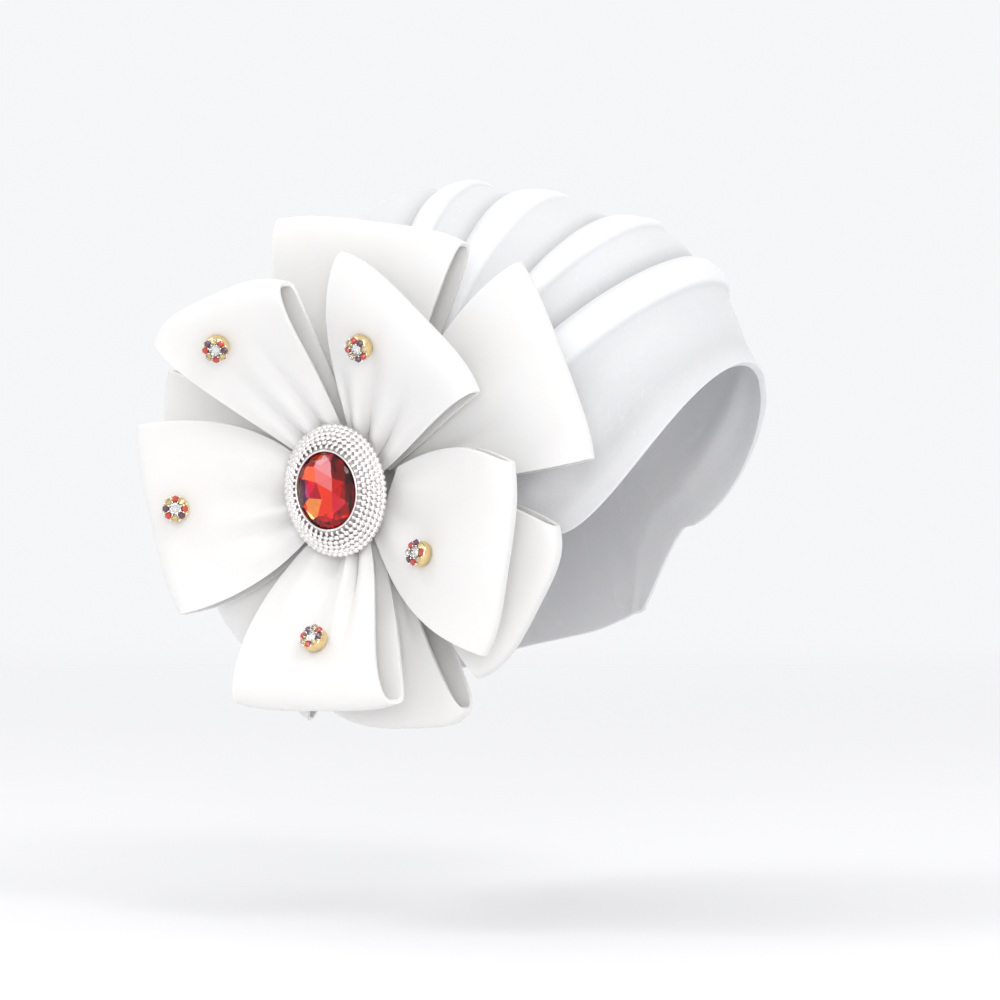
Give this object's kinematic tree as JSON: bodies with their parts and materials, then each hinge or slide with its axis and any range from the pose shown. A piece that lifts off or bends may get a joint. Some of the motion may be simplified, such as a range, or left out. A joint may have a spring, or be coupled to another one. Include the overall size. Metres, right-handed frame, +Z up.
{
  "type": "flower turban cap",
  "caption": "Pleated cloth turban cap with an arched brow hem and a large flower of folded cloth loops over one ear, set with an oval brooch and round studs.",
  "frame": {"origin": "inside top of the crown, on the middle line, where the top of the head touches the cap", "axes": "+Z up, -Y towards the brow, -X towards the side that carries the flower"},
  "size_m": [0.2186, 0.2236, 0.2281],
  "materials": {
    "cap_cloth": "matt cool white crepe-like stretch cloth, pleated",
    "petal_cloth": "smooth warm white bonded cloth",
    "silver": "bright silver-coloured plated metal with rows of small beads",
    "gold": "polished gold-coloured metal",
    "red_stone": "clear red cut glass over a mirror back",
    "clear_stone": "clear cut glass"
  },
  "bodies": {
    "root": {"cap_shell": "cap_cloth", "petal_front_1": "petal_cloth", "petal_front_2": "petal_cloth", "petal_front_3": "petal_cloth", "petal_front_4": "petal_cloth", "petal_front_5": "petal_cloth", "petal_back_1": "petal_cloth", "petal_back_2": "petal_cloth", "petal_back_3": "petal_cloth", "petal_back_4": "petal_cloth", "petal_back_5": "petal_cloth", "petal_back_6": "petal_cloth", "brooch_setting": "silver", "brooch_stone": "red_stone", "stud_cup_1": "gold", "stud_stone_1": "clear_stone", "stud_cup_2": "gold", "stud_stone_2": "clear_stone", "stud_cup_3": "gold", "stud_stone_3": "clear_stone", "stud_cup_4": "gold", "stud_stone_4": "clear_stone", "stud_cup_5": "gold", "stud_stone_5": "clear_stone"}
  },
  "joints": []
}
